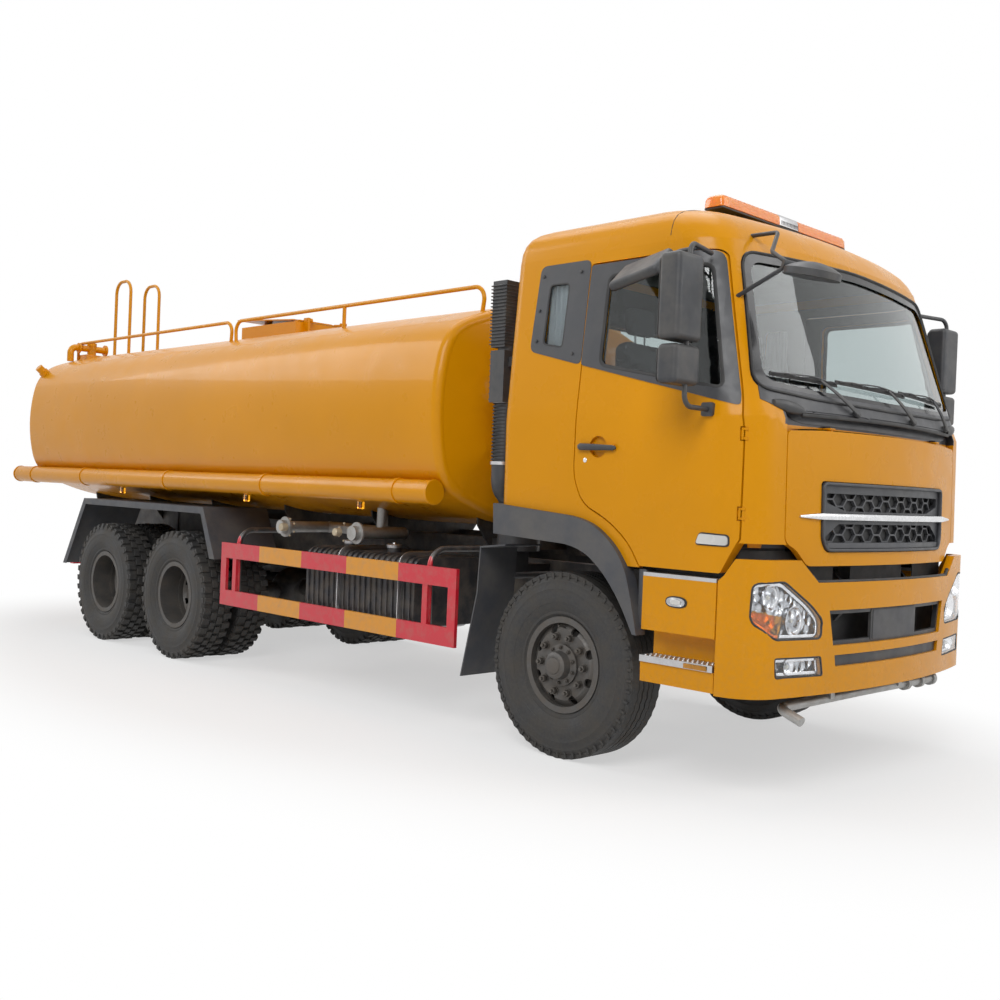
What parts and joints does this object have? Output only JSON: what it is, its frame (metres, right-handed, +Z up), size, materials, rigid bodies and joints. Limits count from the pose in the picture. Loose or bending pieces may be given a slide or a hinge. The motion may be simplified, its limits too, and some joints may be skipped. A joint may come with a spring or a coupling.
{
  "type": "tanker truck",
  "caption": "Forward-control rigid water tanker with tilting cab, oval tank, hose tubes, side guards, steered front wheels and driven rear twins.",
  "frame": {"origin": "bottom centre of the truck's overall box, on the ground under the middle of its length and width", "axes": "+X forward, +Y to the driver's left, +Z up"},
  "size_m": [9.4725, 3.16, 3.7068],
  "materials": {
    "body_paint": "gloss",
    "door_paint": "gloss",
    "guard_paint": "gloss",
    "frame_paint": "satin",
    "dark_plastic": "satin",
    "fuel_metal": "satin",
    "pipe_metal": "satin",
    "step_metal": "satin",
    "lamp_lens": "gloss",
    "beacon_lens": "gloss",
    "window_glass": "gloss",
    "seat_fabric": "matte",
    "tyre_rubber": "matte",
    "wheel_metal": "satin"
  },
  "bodies": {
    "chassis": {"chassis_frame": "frame_paint", "tank_subframe": "frame_paint", "tank_shell": "body_paint", "top_rails": "body_paint", "rear_ladder": "body_paint", "spray_head": "body_paint", "hose_tubes": "body_paint", "side_guard_right": "guard_paint", "side_guard_left": "guard_paint", "mudguards": "dark_plastic", "fuel_tank": "fuel_metal", "battery_box": "frame_paint", "water_pipes": "pipe_metal", "front_spray_bar": "pipe_metal", "rear_bar": "frame_paint", "lamps": "lamp_lens", "front_axle": "frame_paint", "rear_axles": "frame_paint", "suspension": "frame_paint", "engine_block": "frame_paint", "front_bumper": "body_paint", "lower_grille": "dark_plastic", "step_fenders": "body_paint", "step_treads": "step_metal", "air_filter": "dark_plastic"},
    "manhole": {"manhole_lid": "body_paint"},
    "cab": {"cab_shell": "body_paint", "cab_roof": "body_paint", "cab_glass": "window_glass", "front_mirror": "dark_plastic", "arch_trims": "dark_plastic", "wipers": "dark_plastic", "light_bar": "beacon_lens", "cab_interior": "dark_plastic", "seats": "seat_fabric", "air_intake": "dark_plastic"},
    "flap": {"front_flap": "body_paint", "flap_grille": "dark_plastic"},
    "right_door": {"door_right": "door_paint", "door_glass_right": "window_glass", "mirror_right": "dark_plastic"},
    "left_door": {"door_left": "door_paint", "door_glass_left": "window_glass", "mirror_left": "dark_plastic"},
    "right_steering": {"knuckle_right": "frame_paint"},
    "left_steering": {"knuckle_left": "frame_paint"},
    "track_rod": {"tie_rod": "frame_paint"},
    "front_wheel_right": {"front_tyre_right": "tyre_rubber", "front_rim_right": "wheel_metal"},
    "front_wheel_left": {"front_tyre_left": "tyre_rubber", "front_rim_left": "wheel_metal"},
    "first_twin_right": {"first_rear_tyres_right": "tyre_rubber", "first_rear_rims_right": "wheel_metal"},
    "first_twin_left": {"first_rear_tyres_left": "tyre_rubber", "first_rear_rims_left": "wheel_metal"},
    "second_twin_right": {"second_rear_tyres_right": "tyre_rubber", "second_rear_rims_right": "wheel_metal"},
    "second_twin_left": {"second_rear_tyres_left": "tyre_rubber", "second_rear_rims_left": "wheel_metal"}
  },
  "joints": [
    {"name": "cab_tilt", "type": "hinge", "parent": "chassis", "child": "cab", "pos_m": [4.47875, 0, 1.05], "axis": [0, 1, 0], "range_deg": [0, 50]},
    {"name": "flap_lift", "type": "hinge", "parent": "cab", "child": "flap", "pos_m": [4.47875, 0, 1.93], "axis": [0, -1, 0], "range_deg": [0, 70]},
    {"name": "right_door_swing", "type": "hinge", "parent": "cab", "child": "right_door", "pos_m": [4.31075, -1.19, 1.47], "axis": [0, 0, 1], "range_deg": [0, 70]},
    {"name": "left_door_swing", "type": "hinge", "parent": "cab", "child": "left_door", "pos_m": [4.31075, 1.19, 1.47], "axis": [0, 0, -1], "range_deg": [0, 70]},
    {"name": "manhole_hinge", "type": "hinge", "parent": "chassis", "child": "manhole", "pos_m": [-0.91125, 0, 2.975], "axis": [0, 1, 0], "range_deg": [0, 110]},
    {"name": "steering", "type": "hinge", "parent": "chassis", "child": "right_steering", "pos_m": [3.09875, -0.8, 0.54], "axis": [0, 0, 1], "range_deg": [-30, 30]},
    {"name": "left_kingpin", "type": "hinge", "parent": "chassis", "child": "left_steering", "pos_m": [3.09875, 0.8, 0.54], "axis": [0, 0, 1], "range_deg": [-30, 30]},
    {"name": "track_rod_pin", "type": "hinge", "parent": "right_steering", "child": "track_rod", "pos_m": [2.90875, -0.8, 0.392], "axis": [0, 0, 1], "range_deg": [-30, 30]},
    {"name": "front_right_roll", "type": "hinge", "parent": "right_steering", "child": "front_wheel_right", "pos_m": [3.09875, -1.008, 0.54], "axis": [0, 1, 0], "continuous": true},
    {"name": "front_left_roll", "type": "hinge", "parent": "left_steering", "child": "front_wheel_left", "pos_m": [3.09875, 1.008, 0.54], "axis": [0, 1, 0], "continuous": true},
    {"name": "first_right_roll", "type": "hinge", "parent": "chassis", "child": "first_twin_right", "pos_m": [-1.25125, -0.932, 0.54], "axis": [0, 1, 0], "continuous": true},
    {"name": "first_left_roll", "type": "hinge", "parent": "chassis", "child": "first_twin_left", "pos_m": [-1.25125, 0.932, 0.54], "axis": [0, 1, 0], "continuous": true},
    {"name": "second_right_roll", "type": "hinge", "parent": "chassis", "child": "second_twin_right", "pos_m": [-2.55125, -0.932, 0.54], "axis": [0, 1, 0], "continuous": true},
    {"name": "second_left_roll", "type": "hinge", "parent": "chassis", "child": "second_twin_left", "pos_m": [-2.55125, 0.932, 0.54], "axis": [0, 1, 0], "continuous": true}
  ],
  "couplings": [
    {"joint": "left_kingpin", "follows": "steering", "ratio": 1},
    {"joint": "track_rod_pin", "follows": "steering", "ratio": -1}
  ]
}
